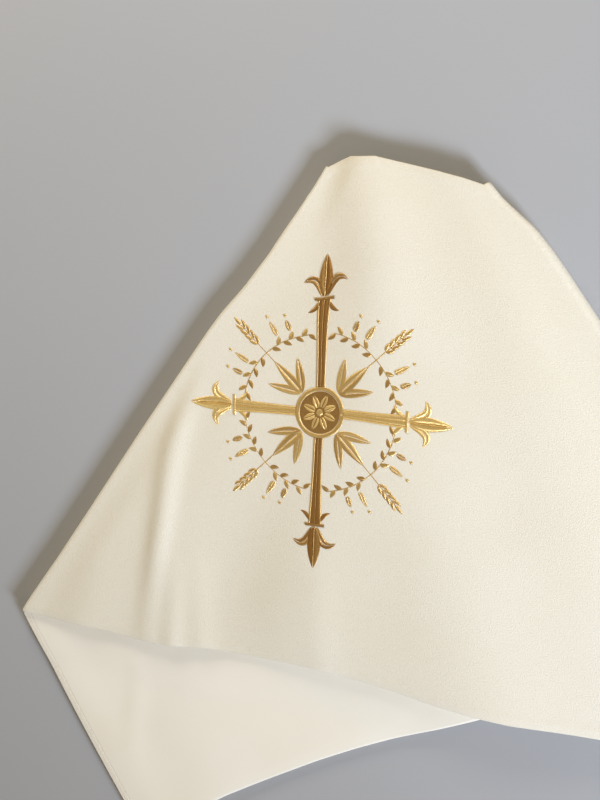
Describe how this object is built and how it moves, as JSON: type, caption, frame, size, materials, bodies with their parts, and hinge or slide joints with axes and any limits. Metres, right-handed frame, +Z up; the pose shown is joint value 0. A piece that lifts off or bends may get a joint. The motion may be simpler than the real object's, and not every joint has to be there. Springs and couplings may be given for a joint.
{
  "type": "humeral veil",
  "caption": "Long lined liturgical shoulder veil, laid face up with both ends folded underneath, its lining showing at one corner.",
  "frame": {"origin": "on the resting surface, under the middle of the rectangle that the folded veil covers", "axes": "+Z up out of the face of the cloth, +Y towards the neck edge, +X along the band towards the right end"},
  "size_m": [1.0342, 0.856, 0.039],
  "materials": {
    "outer_cloth": "ivory crepe with a soft sheen",
    "lining": "smooth cream lining"
  },
  "bodies": {
    "root": {"outer_cloth": "outer_cloth", "lining": "lining"}
  },
  "joints": []
}
